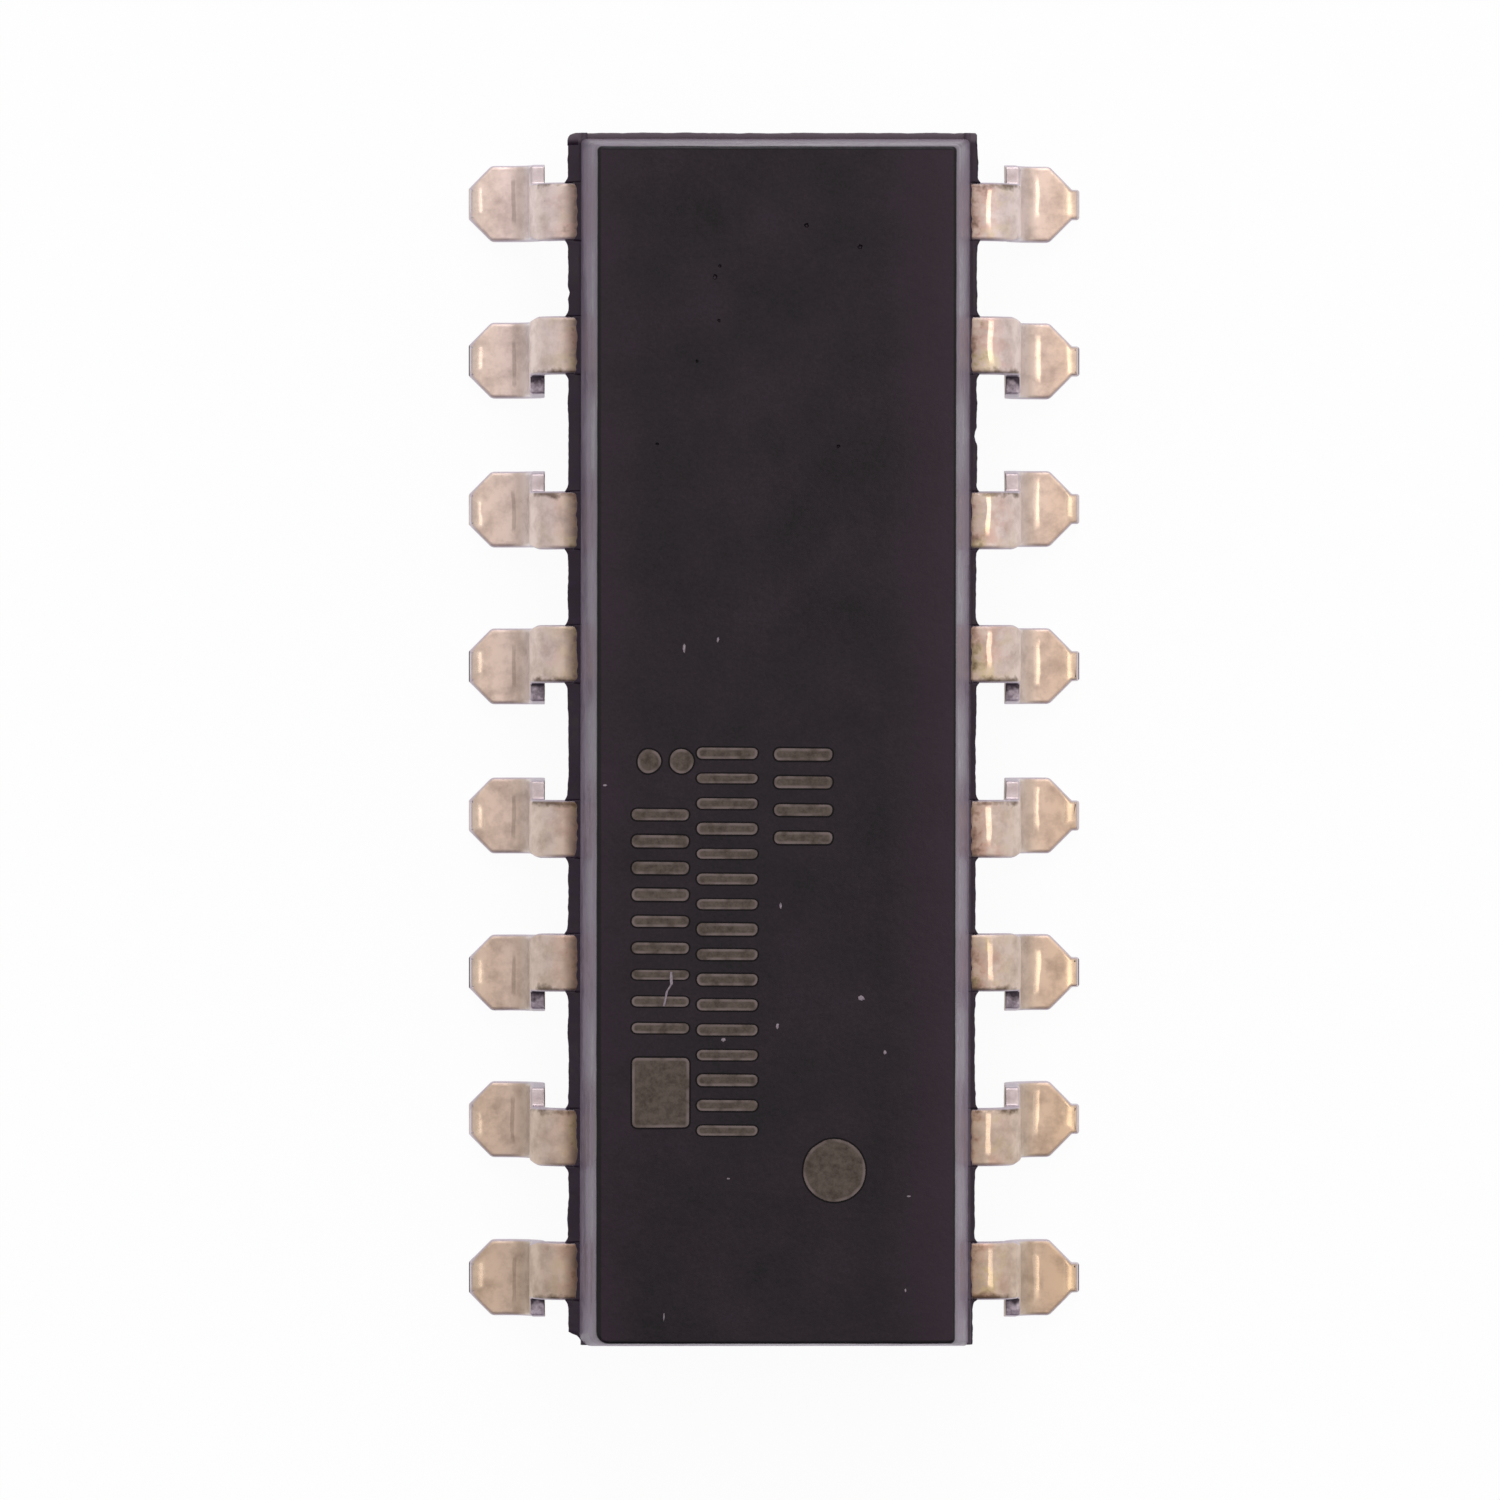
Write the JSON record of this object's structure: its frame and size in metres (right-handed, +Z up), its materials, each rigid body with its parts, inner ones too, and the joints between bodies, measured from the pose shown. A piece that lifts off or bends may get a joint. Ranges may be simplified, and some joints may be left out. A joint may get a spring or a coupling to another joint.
{
  "type": "optocoupler",
  "caption": "Surface-mount optocoupler: long black moulded body with gull-wing leads along both sides; passes signals by light between isolated circuits.",
  "frame": {"origin": "middle of the body and lead rows, on the seating plane under the feet", "axes": "+Z up from the circuit board, +Y along the body from pin 1's end to the other, +X towards the row of pins 1 to 8, so pin 1 stands at +X, -Y"},
  "size_m": [0.0102, 0.0199, 0.0038],
  "materials": {
    "black_epoxy": "matt, spark-eroded mould texture",
    "tinned_lead": "matt tin plate over copper alloy",
    "white_epoxy": "matt, reflective white",
    "led_die": "polished die",
    "silicon_die": "polished die",
    "clear_silicone": "clear and soft",
    "gold_wire": "drawn",
    "laser_mark": "laser-bleached epoxy"
  },
  "bodies": {
    "root": {"outer_mould": "black_epoxy", "pin_01_anode": "tinned_lead", "pin_02_cathode": "tinned_lead", "pin_03_anode": "tinned_lead", "pin_04_cathode": "tinned_lead", "pin_05_anode": "tinned_lead", "pin_06_cathode": "tinned_lead", "pin_07_anode": "tinned_lead", "pin_08_cathode": "tinned_lead", "pin_09_emitter": "tinned_lead", "pin_10_collector": "tinned_lead", "pin_11_emitter": "tinned_lead", "pin_12_collector": "tinned_lead", "pin_13_emitter": "tinned_lead", "pin_14_collector": "tinned_lead", "pin_15_emitter": "tinned_lead", "pin_16_collector": "tinned_lead", "inner_mould_1": "white_epoxy", "led_chip_1": "led_die", "led_wire_1": "gold_wire", "led_coat_1": "clear_silicone", "phototransistor_chip_1": "silicon_die", "phototransistor_wire_1": "gold_wire", "inner_mould_2": "white_epoxy", "led_chip_2": "led_die", "led_wire_2": "gold_wire", "led_coat_2": "clear_silicone", "phototransistor_chip_2": "silicon_die", "phototransistor_wire_2": "gold_wire", "inner_mould_3": "white_epoxy", "led_chip_3": "led_die", "led_wire_3": "gold_wire", "led_coat_3": "clear_silicone", "phototransistor_chip_3": "silicon_die", "phototransistor_wire_3": "gold_wire", "inner_mould_4": "white_epoxy", "led_chip_4": "led_die", "led_wire_4": "gold_wire", "led_coat_4": "clear_silicone", "phototransistor_chip_4": "silicon_die", "phototransistor_wire_4": "gold_wire"}
  },
  "joints": []
}
